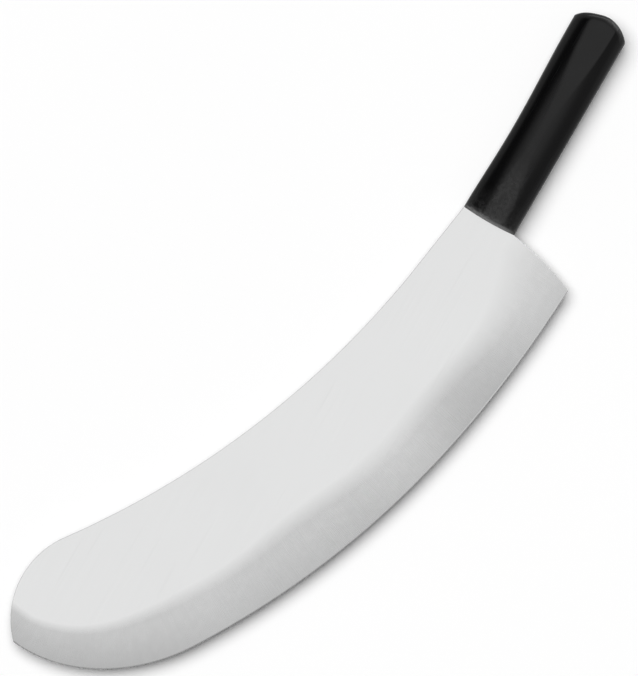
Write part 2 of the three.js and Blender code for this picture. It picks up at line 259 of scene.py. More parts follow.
class MEZZALUNA_PG_finish(bpy.types.PropertyGroup):
    """Colours and roughness of steel and plastic."""

    flat: tint("Flat", "Satin steel of the flats", (0.768, 0.771, 0.771))
    # The bevel's tint is darker partly as ground steel and partly as painted reflection.
    bevel: tint("Bevel", "Ground steel of the bevel", (0.665, 0.667, 0.667))
    honed: tint("Honed edge", "Steel of the honed strip", (0.72, 0.72, 0.72))
    plastic: tint("Plastic", "Black of the handle", (0.0008, 0.0008, 0.0009))
    # Grey of the plastic rubbed near the front, and of the painted sheen on the upper crown near the front.
    rubbed: tint("Rubbed plastic", "Plastic where hands have rubbed it grey", (0.012, 0.012, 0.012))
    # Pale tint of the painted highlight along the edges of front and butt.
    worn_edge: tint("Worn edge", "Plastic along the edges of front and butt, worn palest", (0.14, 0.14, 0.14))
    flat_rough: share("Flat roughness", "Roughness of the satin flats", 0.22)
    bevel_rough: share("Bevel roughness", "Roughness of the ground bevel", 0.26)
    plastic_rough: share("Plastic roughness", "Roughness of the clean plastic", 0.25)
    touched_rough: share("Touched roughness", "Roughness of the plastic where it is touched and wiped", 0.21)


class MEZZALUNA_PG_stage(bpy.types.PropertyGroup):
    """Floor, light and camera."""

    floor_size: length("Floor size", "Side of the floor", 8.0)
    floor: tint("Floor", "Pale floor", (0.98, 0.98, 0.98))
    floor_mirrored: tint("Mirrored floor", "The floor as the knife mirrors it", (0.5, 0.5, 0.5))
    overhead: level("Overhead light", "Level of the panel straight above, as the knife mirrors it", 1.04)
    walls: level("Wall light", "Level of the walls all round, as the knife mirrors them", 0.5)
    spine_side: level("Spine side light", "Level of the dark screen on the spine side, as the knife mirrors it", 0.03)
    edge_side: level("Edge side light", "Level of the screen on the edge side, as the knife mirrors it", 0.33)
    ends: level("End light", "Level of the walls beyond tip and butt, as the knife mirrors them", 0.85)
    window: level("Window light", "Level of a low window beyond the butt, as the knife mirrors it", 3.4)
    ambient: level("Ambient light", "Level of the light from all sides", 0.08)
    key_level: level("Key light", "Strength of the soft key light", 3.13)
    key_width: turn("Key width", "Width of the soft key light as seen from the knife", 58)
    key_tilt: turn("Key tilt", "How far the key light stands from overhead", 20)
    key_side: turn("Key side", "Direction of the key light round the knife, from the tip's end", -122)
    pixel: length("Pixel size", "Size of a photograph's pixel at the blade", 0.63 * MM)
    middle_x: position("Middle X", "Place under the image's middle, along the handle", 1.62 * MM)
    middle_y: position("Middle Y", "Place under the image's middle, towards the cutting edge", -16.83 * MM)
    camera_turn: turn("Camera turn", "Turn of the image round the view's axis", 119.83)
    lens: FloatProperty(
        name="Lens", description="Focal length in millimetres", default=300.0, min=10.0, unit="CAMERA"
    )


# ---------------------------------------------------------------- shared shapes


def mixed(first, second, part):
    """Value that lies a part of the way from the first to the second."""
    return first + (second - first) * part


def heading(angle):
    """Unit vector that turns from X towards the spine side."""
    return Vector((math.cos(angle), -math.sin(angle)))


def front_bow(handle, aside):
    """How far the handle's front face stands out at a distance from its middle."""
    return handle.front_bulge * (1 - (2 * aside / handle.front_width) ** 2)


def drawing_origin(handle):
    """Middle of the handle's front, from which all pieces are drawn."""
    return Vector((
        HANDLE_HIGH.x - handle.front_bulge,
        HANDLE_LOW.y + handle.front_width / 2,
        (HANDLE_LOW.z + HANDLE_HIGH.z) / 2,
    ))


def dress(name, points, faces, finishes, node, origin):
    """Makes a smooth mesh piece that stands for a node of the frame."""
    mesh = bpy.data.meshes.new(name)
    mesh.from_pydata([tuple(Vector(p) + origin) for p in points], [], [tuple(map(int, f)) for f in faces])
    mesh.validate()
    mesh.shade_smooth()
    for finish in finishes:
        mesh.materials.append(finish)
    piece = bpy.data.objects.new(name, mesh)
    bpy.context.scene.collection.objects.link(piece)
    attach(piece, "root")
    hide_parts(node)
    return piece


def sharpen(mesh, crisp):
    """Keeps crisp each edge of a set, given as pairs of points."""
    for edge in mesh.edges:
        if frozenset(edge.vertices) in crisp:
            edge.use_edge_sharp = True


def ring_edges(first, count):
    """Pairs of points that follow each other round a closed ring."""
    return {frozenset((first + i, first + (i + 1) % count)) for i in range(count)}


# ---------------------------------------------------------------- blade


def spaced(points, step):
    """The same line with its points evenly spaced, about a step apart."""
    points = np.array(points, float)
    travelled = np.concatenate(([0.0], np.cumsum(np.linalg.norm(np.diff(points, axis=0), axis=1))))
    stops = np.linspace(0.0, travelled[-1], max(2, round(travelled[-1] / step)) + 1)
    return np.column_stack([np.interp(stops, travelled, points[:, axis]) for axis in (0, 1)])


def arc(centre, radius, first, last, step):
    """Points on an arc between two angles, about a step apart."""
    turns = np.linspace(first, last, max(2, round(abs(last - first) * radius / step)) + 1)
    return np.column_stack([centre.x + radius * np.cos(turns), centre.y + radius * np.sin(turns)])


def belly_line(blade):
    """Cutting edge from the heel to the tip: two curves that join at the fore point."""
    heel = Vector((blade.heel_reach, blade.heel_drop))
    fore = Vector((blade.fore_reach, -blade.fore_sweep))
    tip = Vector((blade.tip_reach, -blade.tip_sweep))
    back = blade.belly_pull * (fore - heel).length
    front = blade.belly_pull * (tip - fore).length
    fore_way = heading(blade.fore_heading)
    rear = interpolate_bezier(
        heel, heel + heading(blade.belly_heel_heading) * back, fore - fore_way * back, fore, BELLY_POINTS)
    lead = interpolate_bezier(
        fore, fore + fore_way * front, tip - heading(blade.belly_tip_heading) * front, tip, BELLY_POINTS)
    return spaced([*rear, *lead[1:]], EDGE_STEP)


def spine_line(blade, neck):
    """Spine and rounded tip, from the neck to the tip corner."""
    start = Vector((blade.neck_start, -neck))
    way = heading(blade.spine_heading)
    bend = start + way * blade.spine_straight
    centre = bend + Vector((way.y, -way.x)) * blade.spine_radius
    tip = Vector((blade.tip_reach, -blade.tip_sweep))
    reach = blade.spine_radius + blade.tip_radius
    across = tip - centre
    span = across.length
    foot = (span ** 2 + reach ** 2 - blade.tip_radius ** 2) / (2 * span)
    across /= span
    aside = Vector((-across.y, across.x))
    tip_middle = centre + across * foot + aside * math.sqrt(reach ** 2 - foot ** 2)
    away = tip_middle - centre
    meeting = math.atan2(away.y, away.x)
    to_bend, to_tip = bend - centre, tip - tip_middle
    tip_first = meeting + math.pi
    tip_last = tip_first + (math.atan2(to_tip.y, to_tip.x) - tip_first) % (2 * math.pi)
    hollow = arc(centre, blade.spine_radius, math.atan2(to_bend.y, to_bend.x), meeting, SPINE_STEP)
    nose = arc(tip_middle, blade.tip_radius, tip_first, tip_last, CORNER_STEP)
    return np.concatenate([spaced([start, bend], SPINE_STEP)[:-1], hollow[:-1], nose])


def bowed(start, pull, end, parts):
    """Points of a simple bow between two ends, drawn towards a pull."""
    parts = np.asarray(parts)[:, None]
    return np.array(start) * (1 - parts) ** 2 + np.array(pull) * 2 * parts * (1 - parts) + np.array(end) * parts ** 2


def heel_line(blade, neck):
    """Hollow back of the heel, from the heel corner to the neck."""
    heel = Vector((blade.heel_reach, blade.heel_drop))
    end = Vector((blade.neck_start, neck))
    out = Vector((neck - blade.heel_drop, blade.heel_reach - blade.neck_start)).normalized()
    pull = (heel + end) / 2 + out * 2 * blade.heel_bow
    return spaced(bowed(heel, pull, end, np.linspace(0.0, 1.0, HEEL_POINTS)), CORNER_STEP)


def neck_line(blade, handle, neck):
    """End of the neck, which follows the handle's front face from the edge side to the spine side."""
    aside = np.linspace(neck, -neck, NECK_POINTS)
    return np.column_stack([front_bow(handle, aside) + blade.neck_gap, aside])


def measured(points, line):
    """How far along a line the nearest place to each point lies, and how far away it is."""
    start, step = line[:-1], np.diff(line, axis=0)
    size = np.linalg.norm(step, axis=1)
    travelled = np.concatenate(([0.0], np.cumsum(size)))[:-1]
    offset = points[:, None, :] - start
    part = np.clip((offset * step).sum(2) / size ** 2, 0.0, 1.0)
    away = np.linalg.norm(offset - part[..., None] * step, axis=2)
    nearest = away.argmin(1)
    rows = np.arange(len(points))
    return travelled[nearest] + part[rows, nearest] * size[nearest], away[rows, nearest]


def inside(points, loop):
    """Which points lie within a closed loop."""
    after = np.roll(loop, -1, axis=0)
    x, y = points[:, :1], points[:, 1:]
    spans = (loop[:, 1] > y) != (after[:, 1] > y)
    rise = np.where(loop[:, 1] == after[:, 1], 1.0, after[:, 1] - loop[:, 1])
    crossing = loop[:, 0] + (y - loop[:, 1]) * (after[:, 0] - loop[:, 0]) / rise
    return (spans & (x < crossing)).sum(1) % 2 == 1


def inward_ways(loop):
    """Directions into a counter-clockwise loop at its points, long enough to keep an inset even at corners."""
    step = np.roll(loop, -1, axis=0) - loop
    step /= np.linalg.norm(step, axis=1)[:, None]
    side = np.column_stack([-step[:, 1], step[:, 0]])
    both = side + np.roll(side, 1, axis=0)
    return both * 2 / np.maximum((both ** 2).sum(1), CORNER_LIMIT)[:, None]


class Grind:
    """The ground bevel: measures places on the blade against the cutting edge, carried on straight past its ends."""

    def __init__(self, blade, edge):
        self.blade = blade
        self.lead = blade.heel_reach + blade.bevel_heel
        before = edge[0] + (edge[0] - edge[1]) / np.linalg.norm(edge[0] - edge[1]) * self.lead
        after = edge[-1] + (edge[-1] - edge[-2]) / np.linalg.norm(edge[-1] - edge[-2]) * self.lead
        runs = spaced([before, edge[0]], EDGE_STEP)[:-1], spaced([edge[-1], after], EDGE_STEP)[1:]
        self.line = np.concatenate([runs[0], edge, runs[1]])
        self.total = np.linalg.norm(np.diff(edge, axis=0), axis=1).sum()

    def widths(self, along):
        """Width of the bevel and of its shoulder at distances from the heel along the edge."""
        blade = self.blade
        at_heel = np.clip(1 - np.maximum(along, 0) / blade.heel_run, 0, 1) ** 2
        at_tip = np.clip(1 - np.maximum(self.total - along, 0) / blade.tip_run, 0, 1) ** 2
        part = np.clip(along / self.total, 0, 1)
        wave = np.cos(2 * math.pi * (along - blade.wander_start) / blade.wander_length)
        bevel = mixed(blade.bevel_aft, blade.bevel_fore, part) + blade.wander * wave
        bevel = mixed(mixed(bevel, blade.bevel_heel, at_heel), blade.bevel_tip, at_tip)
        shoulder = mixed(mixed(blade.shoulder_aft, blade.shoulder_fore, part), blade.shoulder_heel, at_heel)
        return bevel, shoulder

    def measure(self, points):
        """Distance along the edge, distance in from it, half thickness, and share of the bevel's slope."""
        blade = self.blade
        along, deep = measured(points, self.line)
        along = along - self.lead
        bevel, shoulder = self.widths(along)
        slope = (blade.thickness - blade.keen_thickness) / 2 / (bevel - blade.keen_width)
        run_out = bevel - shoulder / 2
        part = np.clip((deep - run_out) / shoulder, 0, 1)
        straight = np.minimum(deep, run_out) - blade.keen_width
        ground = blade.keen_thickness / 2 + slope * (straight + shoulder * (part - part ** 2 / 2))
        keen = mixed(blade.edge_land, blade.keen_thickness, deep / blade.keen_width) / 2
        return along, deep, np.where(deep < blade.keen_width, keen, ground), 1 - part

    def lines(self):
        """Mesh lines that follow the edge: round the honed strip's crease, over the bevel and over its shoulder."""
        keen = self.blade.keen_width
        way = np.gradient(self.line, axis=0)
        way /= np.linalg.norm(way, axis=1)[:, None]
        into = np.column_stack([way[:, 1], -way[:, 0]])
        travelled = np.concatenate(([0.0], np.cumsum(np.linalg.norm(np.diff(self.line, axis=0), axis=1))))
        bevel, shoulder = self.widths(travelled - self.lead)
        run_out = bevel - shoulder / 2
        depths = [np.full_like(bevel, keen + room) for room in (-keen / 2, -CREASE_ROOM, CREASE_ROOM)]
        depths += [mixed(keen, run_out, part) for part in BEVEL_LINES]
        depths += [run_out + shoulder * part for part in SHOULDER_LINES]
        return [self.line + into * depth[:, None] for depth in depths]


def make_blade(blade, handle, finishes):
    """Ground blade: both faces, the eased sides and the thin land along the cutting edge."""
    neck = handle.front_width / 2
    edge = belly_line(blade)
    loop = np.concatenate([
        spine_line(blade, neck)[:-1],
        edge[:0:-1],
        heel_line(blade, neck),
        neck_line(blade, handle, neck),
    ])
    grind = Grind(blade, edge)
    ways = inward_ways(loop)
    ease = np.minimum(blade.ease, EASE_SHARE * grind.measure(loop)[2])
    rim = loop + ways * ease[:, None]
    count = len(rim)
    plan, links = [rim], [(i, (i + 1) % count) for i in range(count)]
    placed = count
    for line in grind.lines():
        room = measured(line, np.concatenate([rim, rim[:1]]))[1]
        kept = inside(line, rim) & (room > RIM_ROOM)
        number = placed + np.cumsum(kept) - 1
        links += [(int(number[i]), int(number[i + 1])) for i in range(len(line) - 1) if kept[i] and kept[i + 1]]
        plan.append(line[kept])
        placed += int(kept.sum())
    spots, _, triangles, _, _, _ = delaunay_2d_cdt(
        [Vector(p) for p in np.concatenate(plan)], links, [], 1, SAME_PLACE)
    if len(spots) != placed:
        raise RuntimeError("the bevel's mesh lines cross the blade's outline")
    plan = np.array(spots)
    along, deep, half, slope = grind.measure(plan)

    # Rings down the side of the blade, from the rim of the upper face to the rim of the lower one.
    low = half[:count] - ease
    bend = math.sqrt(0.5)
    eased = loop + ways * (ease * (1 - bend))[:, None]
    side = [(eased, low + ease * bend), (loop, low), (loop, -low), (eased, -low - ease * bend)]
    points = [np.column_stack([plan, half]), np.column_stack([plan, -half])]
    points += [np.column_stack([flat, height]) for flat, height in side]
    first = [0] + [2 * placed + count * k for k in range(len(side))] + [placed]
    faces = [tuple(t) for t in triangles]
    faces += [tuple(placed + i for i in reversed(t)) for t in triangles]
    for upper, lower in zip(first, first[1:]):
        for i in range(count):
            after = (i + 1) % count
            faces.append((upper + i, lower + i, lower + after, upper + after))

    piece = dress("ground_blade", np.concatenate(points), faces, finishes, "blade",
                  drawing_origin(handle))
    mesh = piece.data
    sharpen(mesh, ring_edges(0, count) | ring_edges(placed, count))

    # Place on the blade for the finish: along the edge, in from the edge, and share of the bevel's slope.
    flow = np.column_stack([along, deep])
    flow = np.concatenate([flow, flow] + [flow[:count]] * len(side))
    slope = np.concatenate([slope, slope] + [slope[:count]] * len(side))
    layer = mesh.uv_layers.new(name="edge_flow")
    corners = np.empty(len(mesh.loops), dtype=np.int32)
    mesh.loops.foreach_get("vertex_index", corners)
    layer.data.foreach_set("uv", flow[corners].astype(np.float32).ravel())
    ground = mesh.attributes.new("ground", "FLOAT", "POINT")
    ground.data.foreach_set("value", slope.astype(np.float32))
    keen = flow[:, 1] < blade.keen_width + 2 * CREASE_ROOM
    for polygon in mesh.polygons:
        polygon.material_index = int(all(keen[i] for i in polygon.vertices))


# ---------------------------------------------------------------- handle


def butt_radius(handle):
    """Radius of the butt's arc, from its width and bulge."""
    return ((handle.butt_width / 2) ** 2 + handle.butt_bulge ** 2) / (2 * handle.butt_bulge)


def grip_section(handle, part):
    """Upper half of the handle's section at a share of its length, as places aside and up, from the spine side."""
    waist = math.sin(math.pi * part ** (math.log(0.5) / math.log(handle.waist_place))) ** 2
    middle = handle.butt_offset * part
    half = mixed(handle.front_width, handle.butt_width, part) / 2
    crown = mixed(mixed(handle.crown_front, handle.crown_butt, part), handle.crown_waist, waist) / 2
    ridge = middle + mixed(handle.ridge_front, handle.ridge_butt, part) * (1 - waist)
    crease = mixed(handle.crease_end, handle.crease_waist, waist)
    top = handle.depth / 2

    def corner(outer, inner, soft_butt):
        """Upright side, slope and rounded crease, up to where the crown is flat."""
        soft = mixed(mixed(handle.soft_front, soft_butt, part), handle.soft_waist, waist)
        start, pull, end = np.array([(outer, handle.side_height / 2), (outer, top - crease), (inner, top)])
        last = math.sqrt(1 - soft / abs(inner - outer))
        slope = bowed(start, pull, end, np.linspace(0.0, last, CORNER_STEPS + 1))
        way = (pull - start) * (1 - last) + (end - pull) * last
        turning = slope[-1] + way * (top - slope[-1][1]) / way[1]
        flat = np.array([inner + math.copysign(soft, inner - outer), top])
        crease_line = bowed(slope[-1], turning, flat, np.linspace(0.0, 1.0, CREASE_STEPS + 1))
        return np.concatenate([slope[:-1], crease_line])

    spine = corner(middle - half + handle.spine_hollow * waist, ridge - crown, handle.soft_spine)
    edge = corner(middle + half, ridge + crown, handle.soft_butt)[::-1]
    flat = np.linspace(spine[-1], edge[0], CROWN_STEPS + 1)[1:-1]
    seam = handle.seam_width / 2
    return np.concatenate([[(spine[0][0], seam)], spine, flat, edge, [(edge[-1][0], seam)]])


def grip_ring(handle, part, inset, front_setback, butt_setback):
    """One ring of the handle's skin, with the moulding seam on both sides."""
    middle = handle.butt_offset * part
    butt_half, radius = handle.butt_width / 2, butt_radius(handle)
    section = grip_section(handle, part)
    upper = section.copy()
    upper[:, 1] *= 1 - inset / (handle.depth / 2)
    lower = upper[::-1] * (1, -1)
    seams = [(section[-1][0] + handle.seam_height, 0.0)], [(section[0][0] - handle.seam_height, 0.0)]
    ring = np.concatenate([upper, seams[0], lower, seams[1]])
    aside = ring[:, 0] - middle
    front = front_bow(handle, aside) - front_setback
    butt = radius - np.sqrt(radius ** 2 - aside ** 2) - handle.grip_length + butt_setback
    flattened = np.clip(FLAT_SHIFT - aside / (FLAT_SPAN * butt_half), 0.0, 1.0)
    butt += handle.butt_flat * np.sin(math.pi * flattened) ** 2
    return np.column_stack([mixed(front, butt, part), ring])


def make_handle(handle, finishes):
    """Moulded handle: leaning front, creased and waisted body, rounded butt."""
    lean, rounding = handle.front_lean, handle.butt_rounding
    drop = (handle.depth - handle.front_face) / 2
    rings = [grip_ring(handle, 0.0, drop * inset, lean * back, 0.0) for inset, back in FRONT_RINGS]
    for part in np.linspace(0.0, 1.0, LENGTH_STEPS + 1):
        rings.append(grip_ring(handle, part, 0.0, lean * BODY_SETBACK, rounding))
    for bend in np.linspace(0.0, math.pi / 2, ROUNDING_STEPS + 1)[1:]:
        rings.append(grip_ring(handle, 1.0, rounding * (1 - math.cos(bend)), 0.0, rounding * (1 - math.sin(bend))))
    count = len(rings[0])
    last = (len(rings) - 1) * count
    faces = []
    for row in range(len(rings) - 1):
        for i in range(count):
            after = (i + 1) % count
            faces.append((row * count + i, row * count + after, (row + 1) * count + after, (row + 1) * count + i))
    upper = (count - 2) // 2
    seam_edge, seam_spine = upper, count - 1
    for i in range(upper - 1):
        below = count - 2 - i
        faces.append((i, below, below - 1, i + 1))
        faces.append((last + i, last + i + 1, last + below - 1, last + below))
    faces += [(0, seam_spine, count - 2), (upper - 1, upper + 1, seam_edge)]
    faces += [(last, last + count - 2, last + seam_spine), (last + upper - 1, last + seam_edge, last + upper + 1)]
    piece = dress("moulded_handle", np.concatenate(rings), faces, finishes, "handle",
                  drawing_origin(handle))
    piece.data.set_sharp_from_angle(angle=CRISP_ANGLE)
    sharpen(piece.data, ring_edges(0, count))


# ---------------------------------------------------------------- finishes


def node(tree, kind, inputs=None, **settings):
    """Adds a node; each input is a value, or a socket to link from."""
    made = tree.nodes.new(kind)
    for name, value in settings.items():
        setattr(made, name, value)
    for name, value in (inputs or {}).items():
        if isinstance(value, bpy.types.NodeSocket):
            tree.links.new(value, made.inputs[name])
        else:
            made.inputs[name].default_value = value
    return made


def calc(tree, operation, first, second=0.0):
    """Result of a sum on one or two values."""
    return node(tree, "ShaderNodeMath", {0: first, 1: second}, operation=operation).outputs[0]


def stretch(tree, value, low, high, to_low=0.0, to_high=1.0):
    """Maps a value from one range to another, smoothly and without going past its ends."""
    inputs = {"Value": value, "From Min": low, "From Max": high, "To Min": to_low, "To Max": to_high}
    return node(tree, "ShaderNodeMapRange", inputs, interpolation_type="SMOOTHSTEP").outputs[0]


def mix_tints(tree, part, first, second):
    """Colour that lies a part of the way from the first to the second."""
    return node(tree, "ShaderNodeMix", {0: part, 6: first, 7: second}, data_type="RGBA").outputs[2]


def mix_values(tree, part, first, second):
    """Value that lies a part of the way from the first to the second."""
    return node(tree, "ShaderNodeMix", {0: part, 2: first, 3: second}, data_type="FLOAT").outputs[0]


def add_shares(tree, value, *shares):
    """Adds to a value shares of others, each given with its size."""
    for other, size in shares:
        value = calc(tree, "ADD", value, calc(tree, "MULTIPLY", other, size))
    return value


def noise(tree, place, scale, detail=2.0, distortion=0.0):
    """Cloudy values, mostly between 0.3 and 0.7."""
    inputs = {"Vector": place, "Scale": scale, "Detail": detail, "Distortion": distortion}
    return node(tree, "ShaderNodeTexNoise", inputs).outputs["Fac"]


def opaque(colour):
    """A setting's colour as a socket takes it."""
    return (*colour, 1.0)


def start_group(name, vectors, values, results):
    """Starts a node group with named inputs and outputs, and gives it with the sockets inside it."""
    group = bpy.data.node_groups.new(name, "ShaderNodeTree")
    for label in vectors:
        group.interface.new_socket(label, in_out="INPUT", socket_type="NodeSocketVector")
    for label, default in values.items():
        group.interface.new_socket(label, in_out="INPUT", socket_type="NodeSocketFloat").default_value = default
    for label in results:
        group.interface.new_socket(label, in_out="OUTPUT", socket_type="NodeSocketFloat")
    return group, node(group, "NodeGroupInput").outputs, node(group, "NodeGroupOutput").inputs


def brushed_lines():
    """Fine lines left by a belt: they run along the flow's X and lie side by side along its Y."""
    group, given, result = start_group("brushed_lines", ["Flow"], {"Fineness": 1500.0, "Run": 8.0}, ["Lines"])
    flow = node(group, "ShaderNodeSeparateXYZ", {"Vector": given["Flow"]}).outputs
    run = calc(group, "MULTIPLY", flow["X"], given["Run"])
    across = calc(group, "MULTIPLY", flow["Y"], given["Fineness"])
    place = node(group, "ShaderNodeCombineXYZ", {"X": run, "Y": across}).outputs[0]
    group.links.new(stretch(group, noise(group, place, scale=1.0, detail=3.0), *CLOUD_RANGE), result["Lines"])
    return group


def handling_marks():
    """Soft patches where the surface has been touched and wiped."""
    group, given, result = start_group("handling_marks", ["Place"], {"Patches": 18.0}, ["Marks"])
    wide = noise(group, given["Place"], given["Patches"], detail=3.0, distortion=0.8)
    group.links.new(stretch(group, wide, *PATCH_RANGE), result["Marks"])
    return group


def fine_scratches():
    """Short hairline scratches in two directions."""
    group, given, result = start_group("fine_scratches", ["Place"], {"Fineness": 260.0}, ["Scratches"])
    found = None
    for angle in HAIR_TURNS:
        turned = node(group, "ShaderNodeMapping", {
            "Vector": given["Place"], "Rotation": (0.0, 0.0, angle), "Scale": HAIR_SHAPE}).outputs[0]
        layer = stretch(group, noise(group, turned, given["Fineness"], detail=1.0), *HAIR_RANGE)
        found = layer if found is None else calc(group, "MAXIMUM", found, layer)
    group.links.new(found, result["Scratches"])
    return group


def shared_effects():
    """The node groups that several finishes use, made once."""
    return [bpy.data.node_groups.get(maker.__name__) or maker()
            for maker in (brushed_lines, handling_marks, fine_scratches)]


def start_finish(name):
    """Starts a material, and gives it with its nodes and its shader."""
    material = bpy.data.materials.new(name)
    material.use_nodes = True
    tree = material.node_tree
    return material, tree, tree.nodes["Principled BSDF"]


def effect(tree, group, inputs):
    """Places a shared node group in a material."""
    return node(tree, "ShaderNodeGroup", inputs, node_tree=group).outputs[0]


def bump(tree, height, distance, strength):
    """Normal of a surface with a fine relief."""
    return node(tree, "ShaderNodeBump", {"Height": height, "Distance": distance, "Strength": strength}).outputs[0]


def blade_steel(finish, lines, marks, scratches):
    """Satin flats with lengthwise lines, and a bevel ground square to the edge, darker partly as ground steel and
    partly as painted reflection.
    """
    material, tree, shader = start_finish("blade_steel")
    place = node(tree, "ShaderNodeTexCoord").outputs["Object"]
    flow = node(tree, "ShaderNodeUVMap", uv_map="edge_flow").outputs[0]
    ground = node(tree, "ShaderNodeAttribute", attribute_name="ground").outputs["Fac"]
    edge = node(tree, "ShaderNodeSeparateXYZ", {"Vector": flow}).outputs
    square = node(tree, "ShaderNodeCombineXYZ", {"X": edge["Y"], "Y": edge["X"]}).outputs[0]
    flat_lines = effect(tree, lines, {"Flow": place, "Fineness": 4000.0, "Run": 12.0})
    bevel_lines = effect(tree, lines, {"Flow": square, "Fineness": 3200.0, "Run": 25.0})
    touched = effect(tree, marks, {"Place": place, "Patches": 14.0})
    hairs = effect(tree, scratches, {"Place": place, "Fineness": 240.0})

    brushed = mix_values(tree, ground, flat_lines, bevel_lines)
    # Painted reflection on the bevel: darker towards the tip and near the edge, lighter at the heel.
    by_edge = stretch(tree, edge["X"], *BEVEL_BY_EDGE)
    bright = mix_values(tree, stretch(tree, edge["Y"], *BEVEL_INWARD), by_edge, 1.0)
    bright = calc(tree, "MULTIPLY", bright, stretch(tree, edge["X"], *BEVEL_BY_HEEL))
    for middle, level_there in UNEVEN_PLACES:
        away = calc(tree, "ABSOLUTE", calc(tree, "SUBTRACT", edge["X"], middle))
        bright = calc(tree, "MULTIPLY", bright, stretch(tree, away, 0.0, UNEVEN_REACH, level_there, 1.0))
    clouds = stretch(tree, noise(tree, place, scale=180.0, detail=3.0), *CLOUD_RANGE, to_low=0.97)
    bright = calc(tree, "MULTIPLY", bright, clouds)
    bevel = mix_tints(tree, bright, BLACK, opaque(finish.bevel))
    steel = mix_tints(tree, ground, opaque(finish.flat), bevel)
    tone_shift = add_shares(tree, calc(tree, "MULTIPLY", brushed, 0.015), (hairs, 0.012))
    shader.inputs["Metallic"].default_value = 1.0
    tree.links.new(mix_tints(tree, tone_shift, steel, BLACK), shader.inputs["Base Color"])
    rough = mix_values(tree, ground, finish.flat_rough, finish.bevel_rough)
    rough = add_shares(tree, rough, (brushed, 0.02), (touched, 0.015))
    tree.links.new(rough, shader.inputs["Roughness"])
    tree.links.new(bump(tree, brushed, distance=0.0005 * MM, strength=0.4), shader.inputs["Normal"])
    return material


def honed_edge(finish, lines, scratches):
    """Honed strip along the cutting edge, with fine strokes slanted to it, and painted shade darker towards the tip
    and at its outer side.
    """
    material, tree, shader = start_finish("honed_edge")
    flow = node(tree, "ShaderNodeUVMap", uv_map="edge_flow").outputs[0]
    slanted = node(tree, "ShaderNodeMapping", {"Vector": flow, "Rotation": (0.0, 0.0, STROKE_TURN)}).outputs[0]
    strokes = effect(tree, lines, {"Flow": slanted, "Fineness": 2200.0, "Run": 60.0})
    hairs = effect(tree, scratches, {"Place": slanted, "Fineness": 500.0})
    edge = node(tree, "ShaderNodeSeparateXYZ", {"Vector": flow}).outputs
    # Painted shade: the strip darker towards the tip and along its outer side.
    along, inward = stretch(tree, edge["X"], *HONED_ALONG), stretch(tree, edge["Y"], *HONED_INWARD)
    tone_shift = add_shares(tree, calc(tree, "MULTIPLY", strokes, 0.12), (hairs, 0.1))
    bright = calc(tree, "SUBTRACT", calc(tree, "MULTIPLY", along, inward), tone_shift)
    steel = mix_tints(tree, bright, BLACK, opaque(finish.honed))
    shader.inputs["Metallic"].default_value = 1.0
    tree.links.new(steel, shader.inputs["Base Color"])
    tree.links.new(stretch(tree, strokes, 0.0, 1.0, to_low=0.2, to_high=0.3), shader.inputs["Roughness"])
    tree.links.new(bump(tree, strokes, distance=0.006 * MM, strength=0.5), shader.inputs["Normal"])
    return material


def near_front(tree, spot, start, full):
    """Mask that grows towards the handle's front, between two distances behind it."""
    return stretch(tree, spot["X"], HANDLE_HIGH.x - start, HANDLE_HIGH.x - full)


def front_wear(tree, spot):
    """Mask of the painted highlight along the edge of the handle's front, which is strongest on the spine side."""
    edge_side = stretch(tree, spot["Y"], *(HANDLE_LOW.y + away for away in HIGHLIGHT_SIDES))
    strips = [calc(tree, "MULTIPLY", near_front(tree, spot, *reach), mix_values(tree, edge_side, *levels))
              for reach, levels in HIGHLIGHT_STRIPS]
    return calc(tree, "ADD", *strips)


def butt_wear(tree, spot, handle):
    """Mask of the painted highlight along the butt's upper and lower rims, on the edge side."""
    radius = butt_radius(handle)
    middle = drawing_origin(handle) + Vector((radius - handle.grip_length, handle.butt_offset, 0.0))
    plan = node(tree, "ShaderNodeCombineXYZ", {"X": spot["X"], "Y": spot["Y"]}).outputs[0]
    out = node(tree, "ShaderNodeVectorMath", {0: plan, 1: (middle.x, middle.y, 0.0)}, operation="DISTANCE")
    rim = stretch(tree, out.outputs["Value"], *(radius - away for away in BUTT_HIGHLIGHT), to_high=BUTT_HIGHLIGHT_LEVEL)
    height = calc(tree, "ABSOLUTE", calc(tree, "SUBTRACT", spot["Z"], middle.z))
    for value, origin, limits in (
        (spot["X"], HANDLE_LOW.x, BUTT_HIGHLIGHT_END),
        (spot["Y"], middle.y, BUTT_HIGHLIGHT_SPINE),
        (spot["Y"], middle.y, BUTT_HIGHLIGHT_EDGE),
        (height, 0.0, BUTT_HIGHLIGHT_HEIGHT),
    ):
        rim = calc(tree, "MULTIPLY", rim, stretch(tree, value, *(origin + limit for limit in limits)))
    return rim


